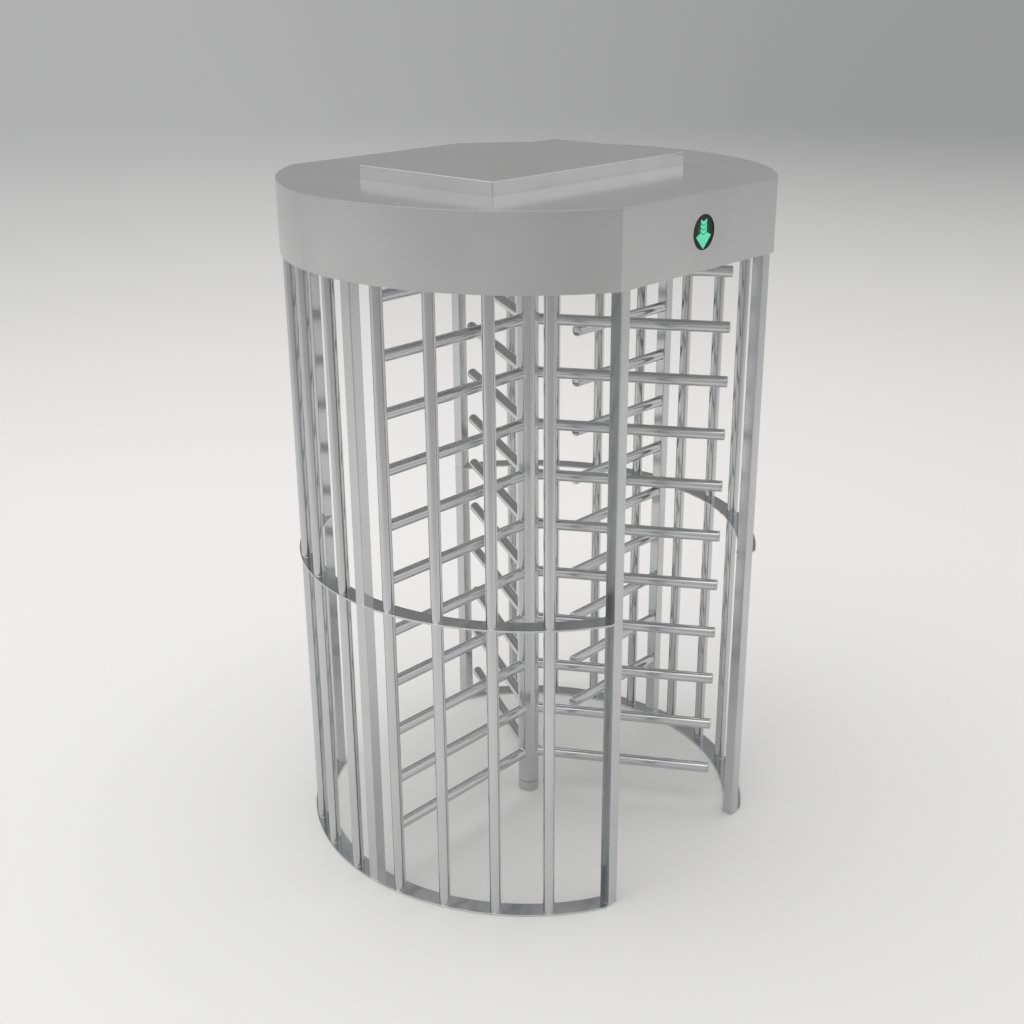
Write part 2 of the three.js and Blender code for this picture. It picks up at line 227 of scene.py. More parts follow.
def lathe(shell, profile, sides=48, loop=False):
    """Turns (radius, height) pairs about Z. A radius of nothing closes an end."""
    rows = []
    for radius, height in profile:
        turns = [2 * math.pi * k / sides for k in range(sides)]
        rows.append([Vector((radius * math.cos(t), radius * math.sin(t), height))
                     for t in turns])
    shell.skin(rows, loop=loop)


def arc(centre, radius, start, end, steps):
    """Points on a circle in plan, from start to end in radians."""
    turns = [start + (end - start) * k / steps for k in range(steps + 1)]
    return [(centre[0] + radius * math.cos(t), centre[1] + radius * math.sin(t))
            for t in turns]


def rounded_rectangle(half_x, half_y, corner, steps=6):
    """An outline function: inset -> points of a rectangle with round corners."""
    def outline(inset):
        radius = max(corner - inset, 0.2 * MM)
        x, y = half_x - inset - radius, half_y - inset - radius
        quarter = math.pi / 2
        points = []
        for k, (side_x, side_y) in enumerate([(1, 1), (-1, 1), (-1, -1), (1, -1)]):
            centre = (side_x * x, side_y * y)
            points += arc(centre, radius, k * quarter, (k + 1) * quarter, steps)
        return points
    return outline


def circle(radius, steps=64):
    """An outline function: inset -> points of a circle."""
    return lambda inset: arc((0, 0), radius - inset, 0, 2 * math.pi, steps)[:-1]


ARC_STEPS = 72
FLAT_STEPS = 8


def drum(radius, flat):
    """An outline function: inset -> points of a circle with two parallel flats."""
    def outline(inset):
        reach, side = radius - inset, flat - inset
        corner = math.asin(side / reach)
        half = reach * math.cos(corner)
        points = []
        for turn in (0, math.pi):
            sign = 1 if turn == 0 else -1
            points += arc((0, 0), reach, turn - corner, turn + corner, ARC_STEPS)
            points += [(sign * half * (1 - 2 * k / FLAT_STEPS), sign * side)
                       for k in range(1, FLAT_STEPS)]
        return points
    return outline


def ring_sector(outer):
    """An outline function: inset -> points of the right-hand ring plate."""
    def outline(inset):
        far, near = outer - inset, RING_INNER + inset
        end_y, end_x = RING_HALF_Y - inset, RING_END_X + inset
        start = math.asin(end_y / far)
        inner = math.acos(end_x / near)
        points = [(end_x, -end_y)] + arc((0, 0), far, -start, start, ARC_STEPS)
        return points + [(end_x, end_y)] + arc((0, 0), near, inner, -inner, ARC_STEPS)
    return outline


# ---- grain: where a point lies among the polishing lines -------------------------
ALONG = 1.2  # how quickly the pattern changes along a line
ACROSS = 60  # and across the lines
TURNED = 8 * ALONG  # along a line that runs round a turned piece


def grain_round(point):
    """Lines that run round a turned piece, about Z."""
    return (point.x * TURNED, point.y * TURNED, point.z * ACROSS)


def grain_upright(point):
    """Lines that run up a post."""
    return (point.x * ACROSS, point.y * ACROSS, point.z * ALONG)


def grain_drum(point):
    """Lines that run round the canopy or along a ring plate."""
    radius = math.hypot(point.x, point.y)
    turn = math.atan2(point.y, abs(point.x)) * DRUM_RADIUS
    return (turn * ALONG, radius * ACROSS, point.z * ACROSS)


def grain_level(point):
    """Lines that run along X on a flat sheet."""
    return (point.x * ALONG, point.y * ACROSS, point.z * ACROSS)


# ---- materials --------------------------------------------------------------------
class Look:
    """A node material under construction."""

    def __init__(self, name):
        self.material = bpy.data.materials.new(name)
        self.material.use_nodes = True
        self.tree = self.material.node_tree
        self.shader = self.tree.nodes["Principled BSDF"]

    def node(self, kind, settings=None, **inputs):
        made = self.tree.nodes.new("ShaderNode" + kind)
        for name, value in (settings or {}).items():
            setattr(made, name, value)
        for name, value in inputs.items():
            self.feed(made.inputs[name.replace("_", " ")], value)
        return made

    def feed(self, socket, value):
        if isinstance(value, bpy.types.NodeSocket):
            self.tree.links.new(value, socket)
        else:
            socket.default_value = value

    def noise(self, place, scale, detail=3.0, roughness=0.5):
        made = self.node("TexNoise", Vector=place, Scale=scale, Detail=detail,
                         Roughness=roughness)
        return made.outputs["Fac"]

    def ramp(self, value, low, high, start=0.3, end=0.7):
        """Value's range from start to end, eased from low to high."""
        made = self.node("MapRange", {"interpolation_type": "SMOOTHSTEP"}, Value=value)
        for name, number in [("From Min", start), ("From Max", end),
                             ("To Min", low), ("To Max", high)]:
            made.inputs[name].default_value = number
        return made.outputs["Result"]

    def math(self, operation, first, second=0.0):
        made = self.node("Math", {"operation": operation})
        self.feed(made.inputs[0], first)
        self.feed(made.inputs[1], second)
        return made.outputs["Value"]

    def mix(self, amount, first, second):
        made = self.node("Mix", {"data_type": "RGBA"})
        self.feed(made.inputs[0], amount)
        self.feed(made.inputs[6], first)
        self.feed(made.inputs[7], second)
        return made.outputs[2]

    def bump(self, height, distance, strength=1.0):
        made = self.node("Bump", Height=height, Distance=distance, Strength=strength)
        return made.outputs["Normal"]

    def set(self, **inputs):
        for name, value in inputs.items():
            self.feed(self.shader.inputs[name.replace("_", " ")], value)

    def object_place(self):
        return self.node("TexCoord").outputs["Object"]

    def attribute(self, name, output):
        return self.node("Attribute", {"attribute_name": name}).outputs[output]


def shade(colour, factor):
    return tuple(min(1.0, c * factor) for c in colour) + (1.0,)


def metal(name, colour, roughness, grain_depth, spread, carried=False, metallic=1.0,
          edge_gain=1.25):
    """Ground or polished metal: fine lines, faint smudges and worn edges, which are
    edge_gain times as bright. Carried is for CAD pieces, which have no grain or wear
    of their own."""
    look = Look(name)
    place = look.object_place()
    lines = place if carried else look.attribute("grain", "Vector")
    line = look.noise(lines, 90 if carried else 9, detail=4.0, roughness=0.6)
    cloud = look.noise(place, 3.5, detail=2.0)
    fine = look.ramp(line, roughness - spread, roughness + spread)
    smudge = look.ramp(cloud, -spread * 0.6, spread * 0.9)
    rough = look.math("ADD", fine, smudge)
    body = look.mix(look.ramp(cloud, 0.0, 1.0, 0.35, 0.7),
                    shade(colour, 1.0), shade(colour, 0.93))
    if not carried:
        edge = look.attribute("wear", "Fac")
        patchy = look.math("MULTIPLY", edge, look.ramp(look.noise(place, 60), 0.2, 1.0))
        body = look.mix(patchy, body, shade(colour, edge_gain))
        rough = look.math("SUBTRACT", rough, look.math("MULTIPLY", patchy, 0.04))
    look.set(Metallic=metallic, Base_Color=body, Roughness=rough,
             Normal=look.bump(line, grain_depth))
    return look.material


def plastic(name, colour, roughness, texture_scale, depth):
    """Moulded plastic: a fine spark-eroded texture with uneven gloss."""
    look = Look(name)
    place = look.object_place()
    skin = look.node("TexVoronoi", Vector=place, Scale=texture_scale).outputs["Distance"]
    cloud = look.noise(place, 14)
    body = look.mix(look.ramp(cloud, 0.0, 1.0), shade(colour, 0.85), shade(colour, 1.15))
    look.set(Base_Color=body, Roughness=look.ramp(cloud, roughness - 0.06, roughness + 0.06),
             Normal=look.bump(skin, depth, 0.6))
    return look.material


def smoked_lens():
    """Dark gloss lens with a painted green glow round the lit arrow behind it, standing in for
    the arrow's light spreading into the lens.
    """
    look = Look("smoked_lens")
    place = look.object_place()
    parts = look.node("SeparateXYZ", Vector=place).outputs
    up = look.math("SUBTRACT", parts["Z"], INDICATOR_Z + 2 * MM)
    across = look.math("MULTIPLY", parts["X"], 1.25)
    squares = look.math("ADD", look.math("MULTIPLY", across, across),
                        look.math("MULTIPLY", up, up))
    distance = look.math("SQRT", squares)
    # painted glow: emission that stands in for the arrow's light spreading through the smoked
    # lens
    glow = look.ramp(distance, 0.42, 0.006, 6 * MM, 44 * MM)
    dots = look.node("TexVoronoi", Vector=place, Scale=260.0).outputs["Distance"]
    look.set(Base_Color=shade((0.018, 0.03, 0.027), 1.0),
             Roughness=look.ramp(look.noise(place, 40), 0.12, 0.22), Specular_IOR_Level=0.2,
             Emission_Color=(0.008, 0.36, 0.2, 1.0), Emission_Strength=glow,
             Normal=look.bump(dots, 0.05 * MM, 0.3))
    return look.material


def lit_arrow():
    """Lit green diffuser with the faint unevenness of the diodes behind it."""
    look = Look("lit_arrow")
    place = look.object_place()
    diodes = look.node("TexVoronoi", Vector=place, Scale=150.0).outputs["Distance"]
    pale = look.mix(look.ramp(diodes, 1.0, 0.0, 0.1, 0.6),
                    (0.1, 0.61, 0.38, 1.0), (0.16, 0.72, 0.48, 1.0))
    look.set(Base_Color=(0.03, 0.12, 0.08, 1.0), Roughness=0.4, Specular_IOR_Level=0.25,
             Emission_Color=pale, Emission_Strength=0.95)
    return look.material


# painted light falloff: the floor's colour greys with distance and is darker on the right,
# standing in for light from the left fading away
FLOOR_NEAR = (0.86, 0.857, 0.852, 1.0)
FLOOR_PAINTED_FALLOFF_LEFT = (0.6, 0.605, 0.61, 1.0)
FLOOR_PAINTED_FALLOFF_RIGHT = (0.41, 0.415, 0.42, 1.0)
FLOOR_PAINTED_SHADE = (0.2, 0.2, 0.2, 1.0)
PAINTED_FALLOFF_STARTS, PAINTED_FALLOFF_ENDS = 4.0, 26.0  # metres from the object over which the painted light falloff grows
LEFTWARD = (-0.66, 0.75, 0)
PAINTED_SHADE_SIDE = (-0.62, -0.78, 0)
PAINTED_SHADE_AMOUNT = 0.38
PAINTED_SHADE_STARTS, PAINTED_SHADE_ENDS = 1.8, 5.0  # metres toward the side with the painted shade


def studio_floor():
    """Pale seamless floor with painted light. Its colour falls off to grey far from the object,
    more so on the right, as painted light falloff from a light on the left, and it carries
    painted shade on the side that the canopy's front reflects."""
    look = Look("studio_floor")
    place = look.object_place()

    def along(direction):
        made = look.node("VectorMath", {"operation": "DOT_PRODUCT"})
        look.feed(made.inputs[0], place)
        look.feed(made.inputs[1], direction)
        return made.outputs["Value"]

    length = look.node("VectorMath", {"operation": "LENGTH"})
    look.feed(length.inputs[0], place)
    distance = look.math("ADD", length.outputs["Value"], 0.01)
    left = look.math("DIVIDE", along(LEFTWARD), distance)
    # painted light falloff, darker towards the right as if lit from the left
    grey = look.mix(look.ramp(left, 0.0, 1.0, -0.35, 0.35), FLOOR_PAINTED_FALLOFF_RIGHT, FLOOR_PAINTED_FALLOFF_LEFT)
    far = look.ramp(distance, 0.0, 1.0, PAINTED_FALLOFF_STARTS, PAINTED_FALLOFF_ENDS)
    tone = look.mix(far, FLOOR_NEAR, grey)
    # painted shade: darkens the floor on the camera's side so that the canopy's front reflects
    # a darker floor
    painted_shade = look.ramp(along(PAINTED_SHADE_SIDE), 0.0, PAINTED_SHADE_AMOUNT, PAINTED_SHADE_STARTS, PAINTED_SHADE_ENDS)
    look.set(Base_Color=look.mix(painted_shade, tone, FLOOR_PAINTED_SHADE), Roughness=0.75)
    return look.material


SHEET_COLOUR = (0.635, 0.64, 0.64)
SHEET_METALLIC = 0.7
SHEET_EDGE_GAIN = 1.05

MATERIALS = {
    "stainless": metal("stainless", (0.60, 0.605, 0.61), 0.11, 0.002 * MM, 0.03),
    "satin_steel": metal("satin_steel", SHEET_COLOUR, 0.26, 0.0015 * MM, 0.012,
                         metallic=SHEET_METALLIC, edge_gain=SHEET_EDGE_GAIN),
    "roof_steel": metal("roof_steel", SHEET_COLOUR, 0.13, 0.001 * MM, 0.015,
                        metallic=SHEET_METALLIC, edge_gain=SHEET_EDGE_GAIN),
    "indicator_lens": smoked_lens(),
    "indicator_green": lit_arrow(),
    "black_plastic": plastic("black_plastic", (0.028, 0.031, 0.031), 0.45, 900, 0.05 * MM),
}
CARRIED = {
    "machined_steel": metal("machined_steel", (0.50, 0.51, 0.53), 0.3, 0.006 * MM, 0.06,
                            carried=True),
    "zinc_plate": metal("zinc_plate", (0.56, 0.57, 0.56), 0.42, 0.01 * MM, 0.07,
                        carried=True),
    "hardened_steel": metal("hardened_steel", (0.14, 0.145, 0.155), 0.38, 0.008 * MM, 0.08,
                            carried=True),
    "brass": metal("brass", (0.62, 0.44, 0.17), 0.3, 0.005 * MM, 0.06, carried=True),
    "black_plastic": MATERIALS["black_plastic"],
    "grey_plastic": plastic("grey_plastic", (0.16, 0.165, 0.17), 0.5, 700, 0.06 * MM),
}


def finish_piece(item, body, slot, *nodes, material=None):
    """Gives a piece its material and body, and hides the CAD nodes it stands for."""
    item.data.materials.append(material or MATERIALS[slot])
    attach(item, body)
    if nodes:
        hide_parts(*nodes)


# ---- screens ------------------------------------------------------------------------
def upright_side(bottom, top):
    """(offset, height) pairs up an upright, welded to the base and mid rings."""
    def fillet(level, upward):
        turns = [math.pi / 2 * k / 3 for k in range(4)]
        side = [(WELD * (1 - math.sin(t)), level + upward * WELD * (1 - math.cos(t)))
                for t in turns]
        return side if upward > 0 else side[::-1]
    pairs = fillet(bottom, 1)
    pairs += fillet(MID_RING_LOW, -1) + fillet(MID_RING_LOW + PLATE, 1)
    return pairs + [(0.0, top)]


def tube_piece(name):
    low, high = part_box(name)
    shell = Shell()
    side = upright_side(PLATE, TOP_RING_LOW)
    profile = [(0.0, side[0][1])] + [(TUBE_RADIUS + out, z) for out, z in side]
    lathe(shell, profile + [(0.0, side[-1][1])])
    centre = (low + high) / 2
    shell.move(Matrix.Translation((centre.x, centre.y, 0)))
    item = shell.piece(
        name + "_skin", lambda p: grain_round(p - Vector((centre.x, centre.y, 0))))
    finish_piece(item, "frame", "stainless", name)


def post_skin(shell, x, y):
    start = len(shell.points)
    outline = rounded_rectangle(POST_HALF, POST_HALF, POST_CORNER)
    side = upright_side(PLATE, POST_TOP)
    rows = [[Vector((px, py, z)) for px, py in outline(-out)] for out, z in side]
    numbered = shell.skin(rows)
    shell.fill(numbered[0])
    shell.fill(numbered[-1])
    shell.move(Matrix.Translation((x, y, 0)), start)


def post_piece(name):
    centre = middle(name)
    shell = Shell()
    post_skin(shell, centre.x, centre.y)
    item = shell.piece(name + "_skin", grain_upright)
    finish_piece(item, "frame", "stainless", name)


def ring_piece(side, level):
    name = f"{side}_{level}_ring"
    low = {"base": 0.0, "mid": MID_RING_LOW, "top": TOP_RING_LOW}[level]
    outer = TOP_RING_OUTER if level == "top" else RING_OUTER
    shell = Shell()
    raised(shell, ring_sector(outer), low, low + PLATE, 1.0 * MM)
    if side == "left":
        shell.move(Matrix.Rotation(math.pi, 4, "Z"))
    item = shell.piece(name + "_plate", grain_drum)
    finish_piece(item, "frame", "stainless", name)


def arm_skin(shell, start, end):
    """One arm along +X from start to its domed end plug."""
    begin = len(shell.points)
    plug = end - PLUG_LENGTH
    groove = 0.5 * MM
    dome = 0.8 * MM
    profile = [(0.0, start), (TUBE_RADIUS, start), (TUBE_RADIUS, plug - groove),
               (TUBE_RADIUS - groove, plug), (TUBE_RADIUS, plug + groove)]
    edge = 3 * MM
    for k in range(5):
        turn = math.pi / 2 * k / 4
        profile.append((TUBE_RADIUS - edge * (1 - math.cos(turn)),
                        end - dome - edge * (1 - math.sin(turn))))
    profile += [(TUBE_RADIUS / 2, end - dome / 4), (0.0, end)]
    lathe(shell, profile, sides=32)
    shell.move(Matrix.Rotation(math.pi / 2, 4, "Y"), begin)


def weld_bead(shell, surface_x):
    """A rippled bead round an arm's root; surface_x(y) is the face it is welded to."""
    rows = []
    steps = 44
    for k in range(steps):
        turn = 2 * math.pi * k / steps
        out = Vector((0, math.cos(turn), math.sin(turn)))
        root = out * TUBE_RADIUS + Vector((surface_x(TUBE_RADIUS * math.cos(turn)), 0, 0))
        radius = BEAD * (1 + 0.14 * math.cos(11 * turn))
        rows.append([root + radius * (math.cos(a) * out + math.sin(a) * Vector((1, 0, 0)))
                     for a in (2 * math.pi * n / 8 for n in range(8))])
    shell.skin(rows, loop=True, worn=range(steps))


def comb_piece():
    shell = Shell()
    post_skin(shell, COMB_POST_X, 0)
    face_x = COMB_POST_X - POST_HALF
    for k in range(ARMS_PER_WING - 1):
        begin = len(shell.points)
        arm_skin(shell, -face_x - 2 * MM, -COMB_TIP_X)
        weld_bead(shell, lambda y: -face_x)
        height = TOP_ARM_Z - (k + 0.5) * ARM_PITCH
        turn = Matrix.Rotation(math.pi, 4, "Z")
        shell.move(Matrix.Translation((0, 0, height)) @ turn, begin)
    item = shell.piece(
        "right_comb", lambda p: grain_level(p) if p.x < face_x else grain_upright(p))
    finish_piece(item, "frame", "stainless", "right_comb_post")


def screens():
    for side in ("left", "right"):
        for place in ("front", "rear"):
            post_piece(f"{side}_{place}_post")
        for number in range(1, 9):
            tube_piece(f"{side}_tube_{number}")
        for level in ("base", "mid", "top"):
            ring_piece(side, level)
    post_piece("left_middle_post")
    comb_piece()


# ---- rotor --------------------------------------------------------------------------
def collar_piece():
    """The floor bearing's housing, turned flush with the column above it."""
    shell = Shell()
    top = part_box("floor_bearing")[1].z
    side = [(COLUMN_RADIUS - inset, z) for inset, z in rounding(0.0, top, 0.4 * MM)]
    lathe(shell, [(0.0, 0.0)] + side + [(0.0, top)], 64)
    item = shell.piece("floor_bearing_housing", grain_round)
    finish_piece(item, "frame", "machined_steel", "floor_bearing",
                 material=MATERIALS["stainless"])


def column_third(shell):
    """A third of the column's skin, centred on +X."""
    steps = 20
    section = [(COLUMN_RADIUS - inset, z)
               for inset, z in rounding(COLUMN_BOTTOM, COLUMN_TOP, 0.8 * MM)]
    section += [(COLUMN_BORE, COLUMN_TOP), (COLUMN_BORE, COLUMN_BOTTOM)]
    rows = []
    for k in range(steps + 1):
        turn = math.radians(-60 + 120 * k / steps)
        rows.append([Vector((r * math.cos(turn), r * math.sin(turn), z))
                     for r, z in section])
    numbered = shell.skin(rows)
    shell.fill(numbered[0])
    shell.fill(numbered[-1])


def wing_piece(name, degrees):
    shell = Shell()
    column_third(shell)
    for k in range(ARMS_PER_WING):
        begin = len(shell.points)
        arm_skin(shell, COLUMN_RADIUS - 5 * MM, WING_REACH)
        weld_bead(shell, lambda y: math.sqrt(COLUMN_RADIUS ** 2 - y ** 2))
        shell.move(Matrix.Translation((0, 0, TOP_ARM_Z - k * ARM_PITCH)), begin)
    turn = Matrix.Rotation(math.radians(degrees), 4, "Z")
    shell.move(turn)
    back = turn.inverted()

    def grain(point):
        local = back @ point
        if math.hypot(local.x, local.y) < COLUMN_RADIUS + 1 * MM:
            return grain_round(local)
        return (local.x * ACROSS, local.y * TURNED, local.z * TURNED)
    item = shell.piece(name + "_arms", grain)
    finish_piece(item, "rotor", "stainless", name)


# ---- canopy ---------------------------------------------------------------------------
def cut_round(item, centre, radius, depth):
    """Cuts a round hole along Y, applied to the mesh."""
    shell = Shell()
    lathe(shell, [(0.0, -depth), (radius, -depth), (radius, depth), (0.0, depth)], 96)
    shell.move(Matrix.Translation(centre) @ Matrix.Rotation(math.pi / 2, 4, "X"))
    cutter = shell.piece("cutter")
    cut = item.modifiers.new("cut", "BOOLEAN")
    cut.operation = "DIFFERENCE"
    cut.solver = "EXACT"
    cut.object = cutter
    item.modifiers.move(len(item.modifiers) - 1, 0)
    depsgraph = bpy.context.evaluated_depsgraph_get()
    item.modifiers["weighted"].show_viewport = False
    depsgraph.update()
    cut_mesh = bpy.data.meshes.new_from_object(item.evaluated_get(depsgraph))
    item.modifiers["weighted"].show_viewport = True
    item.modifiers.remove(cut)
    item.data = cut_mesh
    bpy.data.objects.remove(cutter)


def skirt_piece():
    outline = drum(DRUM_RADIUS, DRUM_FLAT)
    outside = rounding(SKIRT_BOTTOM, SKIRT_TOP, SHEET_EDGE)
    inside = [(SHEET - inset, z) for inset, z in reversed(outside)]
    shell = Shell()
    rows = [[Vector((x, y, z)) for x, y in outline(inset)] for inset, z in outside + inside]
    shell.skin(rows, loop=True, worn=rounded_strips(outside))
    item = shell.piece("canopy_skirt_sheet", grain_drum, SHEET_CREASE)
    place = Vector((0, -DRUM_FLAT, INDICATOR_Z))
    cut_round(item, place, BEZEL_RADIUS + 0.3 * MM, 20 * MM)
    finish_piece(item, "frame", "satin_steel", "canopy_skirt")


def deck_piece():
    shell = Shell()
    inner = rounded_rectangle(COVER_HALF.x - COVER_REBATE, COVER_HALF.y - COVER_REBATE,
                              COVER_CORNER)
    raised(shell, drum(DRUM_RADIUS, DRUM_FLAT), DECK_LOW, DECK_TOP, SHEET_EDGE, [inner])
    item = shell.piece("roof_deck", grain_level, SHEET_CREASE)
    finish_piece(item, "frame", "satin_steel", "roof_panel",
                 material=MATERIALS["roof_steel"])


def ceiling_piece():
    shell = Shell()
    low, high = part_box("ceiling_panel")
    outline = drum(high.x, high.y)
    raised(shell, outline, low.z, high.z, 0.8 * MM, [circle(CEILING_HOLE)])
    item = shell.piece("ceiling_sheet", grain_level, SHEET_CREASE)
    finish_piece(item, "frame", "satin_steel", "ceiling_panel")


def cover_piece():
    """The raised cover: a shallow box with rolled edges, open underneath."""
    outline = rounded_rectangle(COVER_HALF.x, COVER_HALF.y, COVER_CORNER, 10)
    outside = [(0.0, DECK_TOP)]
    for k in range(6):
        turn = math.pi / 2 * k / 5
        outside.append((COVER_ROLL * (1 - math.cos(turn)),
                        COVER_TOP - COVER_ROLL * (1 - math.sin(turn))))
    inside = [(inset + SHEET, min(z, COVER_TOP - SHEET)) for inset, z in outside]
    shell = Shell()
    skins = []
    for side in (outside, inside):
        rows = [[Vector((x, y, z)) for x, y in outline(inset)] for inset, z in side]
        skins.append(shell.skin(rows, worn=range(1, 6) if side is outside else ()))
        shell.fill(skins[-1][-1])
    count = len(skins[0][0])
    for i in range(count):
        j = (i + 1) % count
        shell.face((skins[0][0][i], skins[0][0][j], skins[1][0][j], skins[1][0][i]))
    item = shell.piece("roof_cover_box", grain_level, SHEET_CREASE)
    finish_piece(item, "frame", "satin_steel", "roof_cover",
                 material=MATERIALS["roof_steel"])


# ---- direction indicator ----------------------------------------------------------------
def face_entry(shell):
    """Turns a shape drawn in plan so that its top faces the entry side."""
    shell.move(Matrix.Translation((0, 0, INDICATOR_Z)) @ Matrix.Rotation(math.pi / 2, 4, "X"))


def front_edge(radius, front):
    """The rounded outer edge of the bezel's or the lens's front."""
    return [(radius, front - 0.8 * MM), (radius - 0.3 * MM, front - 0.2 * MM),
            (radius - 1.0 * MM, front)]


def bezel_piece():
    shell = Shell()
    front, back = DRUM_FLAT + BEZEL_LIP, DRUM_FLAT - BEZEL_DEPTH
    inner = LENS_RADIUS + 0.2 * MM
    profile = [(inner, back), (BEZEL_RADIUS, back)] + front_edge(BEZEL_RADIUS, front)
    profile += [(inner + 0.6 * MM, front - 0.3 * MM), (inner, front - 1.2 * MM)]
    lathe(shell, profile, 96, loop=True)
    face_entry(shell)
    item = shell.piece("indicator_rim")
    finish_piece(item, "frame", "black_plastic", "indicator_bezel")


def lens_piece():
    shell = Shell()
    low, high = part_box("indicator_lens")
    front, back = -low.y, -high.y
    profile = [(0.0, back), (LENS_RADIUS, back)] + front_edge(LENS_RADIUS, front)
    profile.append((0.0, front))
    lathe(shell, profile, 96)
    face_entry(shell)
    item = shell.piece("indicator_disc")
    finish_piece(item, "frame", "indicator_lens", "indicator_lens")


def arrow_piece():
    """Three chevrons over a swept head, each a thin raised tile."""
    shell = Shell()
    low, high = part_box("indicator_arrow")
    half = 15 * MM
    drop = 7 * MM
    depth = 10.5 * MM
    head_half, head_top, head_side, tip = 37.5 * MM, -2 * MM, -12 * MM, -50 * MM
    tiles = []
    for top in (38, 24.7, 11.4):
        y = top * MM
        tiles.append([(-half, y), (0, y - drop), (half, y), (half, y - depth),
                      (0, y - drop - depth), (-half, y - depth)])
    tiles.append([(-half, head_top), (0, head_top - drop), (half, head_top),
                  (head_half, head_side), (0, tip), (-head_half, head_side)])
    for tile in tiles:
        rows = [[Vector((x, y, z)) for x, y in tile] for z in (-high.y, -low.y)]
        numbered = shell.skin(rows)
        shell.fill(numbered[0])
        shell.fill(numbered[1])
    face_entry(shell)
    item = shell.piece("indicator_arrow_tiles", None, 20)
    soften = item.modifiers.new("soften", "BEVEL")
    soften.width = 0.3 * MM
    soften.segments = 2
    item.modifiers.move(1, 0)
    finish_piece(item, "frame", "indicator_green", "indicator_arrow")


# ---- fasteners and the controller's lid ---------------------------------------------------
def bolt(shell, x, y, z, across):
    """A hex bolt's head on its washer, standing on height z."""
    start = len(shell.points)
    washer = 0.18 * across
    head = 0.65 * across
    raised(shell, circle(across, 32), 0.0, washer, 0.3 * MM)
    corner = across / math.sqrt(3)

    def hexagon(inset):
        return arc((0, 0), corner - inset, 0, 2 * math.pi, 6)[:-1]
    raised(shell, hexagon, washer, washer + head, 0.6 * MM)
    shell.move(Matrix.Translation((x, y, z)), start)


def head_bolts_piece():
    shell = Shell()
    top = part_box("head_plate")[0].z + HEAD_PLATE
    for x in RAIL_BOLT_PLACES:
        for side in ("front", "rear"):
            bolt(shell, x * MM, middle(f"{side}_rail").y, top, RAIL_BOLT)
    item = shell.piece("head_bolts", grain_round)
    finish_piece(item, "frame", "zinc_plate", material=CARRIED["zinc_plate"])


def controller_lid_piece():
    """The lid, its four screws and three cable glands on the side by the rotor."""
    low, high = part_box("controller_box")
    centre = (low + high) / 2
    half = (high - low) / 2
    shell = Shell()
    raised(shell, rounded_rectangle(half.x - 2 * MM, half.y - 2 * MM, 7 * MM),
           high.z - 0.2 * MM, high.z + LID_THICK, 1.0 * MM)
    shell.move(Matrix.Translation((centre.x, centre.y, 0)))
    for x in (-1, 1):
        for y in (-1, 1):
            bolt(shell, centre.x + x * (half.x - 12 * MM), centre.y + y * (half.y - 12 * MM),
                 high.z + LID_THICK, LID_SCREW)
    for place in (-1, 0, 1):
        start = len(shell.points)
        lathe(shell, [(0.0, -1 * MM), (11 * MM, -1 * MM), (11 * MM, 7 * MM), (8.5 * MM, 9 * MM),
                      (8.5 * MM, 18 * MM), (6.5 * MM, 20 * MM), (0.0, 20 * MM)], 24)
        shell.move(Matrix.Translation((high.x, centre.y + place * GLAND_PITCH, centre.z))
                   @ Matrix.Rotation(math.pi / 2, 4, "Y"), start)
    item = shell.piece("controller_lid")
    finish_piece(item, "frame", "grey_plastic", material=CARRIED["grey_plastic"])


# ---- CAD pieces that stay -----------------------------------------------------------------
def carry_over():
    """Materials and softened edges for the mechanism under the canopy."""
    slots = {row["node"]: row["material_slot"] for row in frame["record"]["subparts"]}
    for name, item in frame["nodes"].items():
        if item.hide_render:
            continue
        item.data.materials.clear()
        item.data.materials.append(CARRIED[slots[name]])
        item.data.polygons.foreach_set("use_smooth", [True] * len(item.data.polygons))
        item.data.set_sharp_from_angle(angle=math.radians(32))
        soften = item.modifiers.new("soften", "BEVEL")
        soften.width = 0.5 * MM
        soften.segments = 2
        soften.limit_method = "ANGLE"
        soften.angle_limit = math.radians(40)
        item.modifiers.new("weighted", "WEIGHTED_NORMAL").keep_sharp = True


# ---- studio -------------------------------------------------------------------------------
SKY_LEFT = (-0.93, 0.2, 0)
SKY_RIGHT = (0.65, -0.75, 0)
SKY_DIM = 0.28
SKY_LEFT_GLOW = 0.44
SKY_RIGHT_GLOW = 0.5
SKY_ZENITH = 0.86
LAMP_PLACE = Vector((-1.3, 1.5, 9.0))
LAMP_SIZE = 11.0
LAMP_POWER = 345
FLOOR_HALF = 200  # metres


def studio():
    shell = Shell()
    corners = [(-1, -1), (1, -1), (1, 1), (-1, 1)]
    outline = [Vector((x * FLOOR_HALF, y * FLOOR_HALF, 0)) for x, y in corners]
    shell.fill(shell.skin([outline])[0])
    floor = shell.piece("studio_floor_sheet")
    floor.data.materials.append(studio_floor())

    studio_world()
    overhead_light()


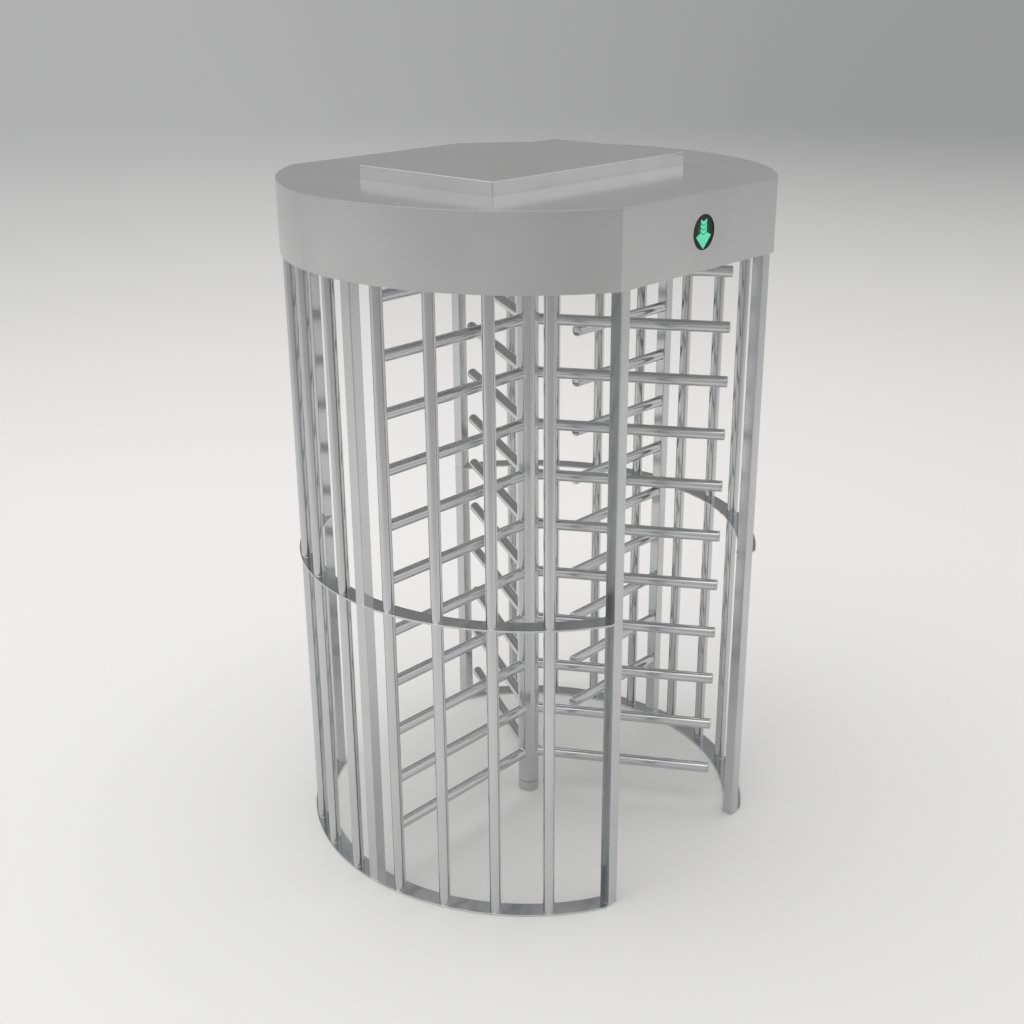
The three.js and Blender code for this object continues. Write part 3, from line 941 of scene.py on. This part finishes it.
def studio_world():
    """Soft light from all round, brighter above and on the left and right."""
    world = bpy.data.worlds.new("studio_world")
    world.use_nodes = True
    tree = world.node_tree
    place = tree.nodes.new("ShaderNodeTexCoord").outputs["Generated"]

    def glow(direction, start, end, dim, bright):
        facing = tree.nodes.new("ShaderNodeVectorMath")
        facing.operation = "DOT_PRODUCT"
        tree.links.new(place, facing.inputs[0])
        facing.inputs[1].default_value = direction
        spread = tree.nodes.new("ShaderNodeMapRange")
        spread.interpolation_type = "SMOOTHSTEP"
        tree.links.new(facing.outputs["Value"], spread.inputs["Value"])
        for name, number in [("From Min", start), ("From Max", end),
                             ("To Min", dim), ("To Max", bright)]:
            spread.inputs[name].default_value = number
        return spread.outputs["Result"]

    def add(first, second):
        total = tree.nodes.new("ShaderNodeMath")
        tree.links.new(first, total.inputs[0])
        tree.links.new(second, total.inputs[1])
        return total.outputs["Value"]

    sides = add(glow(SKY_LEFT, 0.1, 1.0, 0.0, SKY_LEFT_GLOW),
                glow(SKY_RIGHT, 0.1, 1.0, 0.0, SKY_RIGHT_GLOW))
    total = add(sides, glow((0, 0, 1), 0.4, 1.0, SKY_DIM, SKY_ZENITH))
    background = tree.nodes["Background"]
    background.inputs["Color"].default_value = (1.0, 0.995, 0.99, 1.0)
    tree.links.new(total, background.inputs["Strength"])
    bpy.context.scene.world = world


def overhead_light():
    lamp = bpy.data.lights.new("overhead_light", "AREA")
    lamp.shape = "DISK"
    lamp.size = LAMP_SIZE
    lamp.energy = LAMP_POWER
    item = bpy.data.objects.new("overhead_light", lamp)
    item.location = LAMP_PLACE
    aim = Vector((0, 0, 1.0)) - LAMP_PLACE
    item.rotation_euler = aim.to_track_quat("-Z", "Y").to_euler()
    bpy.context.scene.collection.objects.link(item)


CAMERA_AZIMUTH = math.radians(-48.81)
CAMERA_ELEVATION = math.radians(21.22)
CAMERA_TARGET = Vector((0.0606, 0.0029, 1.0858))
CAMERA_DISTANCE = 5.078


def camera():
    back = Vector((math.sin(CAMERA_AZIMUTH) * math.cos(CAMERA_ELEVATION),
                   -math.cos(CAMERA_AZIMUTH) * math.cos(CAMERA_ELEVATION),
                   math.sin(CAMERA_ELEVATION)))
    lens = bpy.data.cameras.new("photo_camera")
    lens.lens = 50
    lens.sensor_width = 36
    lens.shift_x = -0.026
    lens.shift_y = 0.0039
    lens.clip_end = 1000
    item = bpy.data.objects.new("photo_camera", lens)
    item.location = CAMERA_TARGET + CAMERA_DISTANCE * back
    item.rotation_euler = (-back).to_track_quat("-Z", "Y").to_euler()
    bpy.context.scene.collection.objects.link(item)
    bpy.context.scene.camera = item


screens()
for wing, turn_degrees in WING_ANGLES.items():
    wing_piece(wing, turn_degrees)
collar_piece()
skirt_piece()
deck_piece()
ceiling_piece()
cover_piece()
bezel_piece()
lens_piece()
arrow_piece()
head_bolts_piece()
controller_lid_piece()
carry_over()
studio()
camera()
bpy.context.scene.view_settings.view_transform = "Standard"
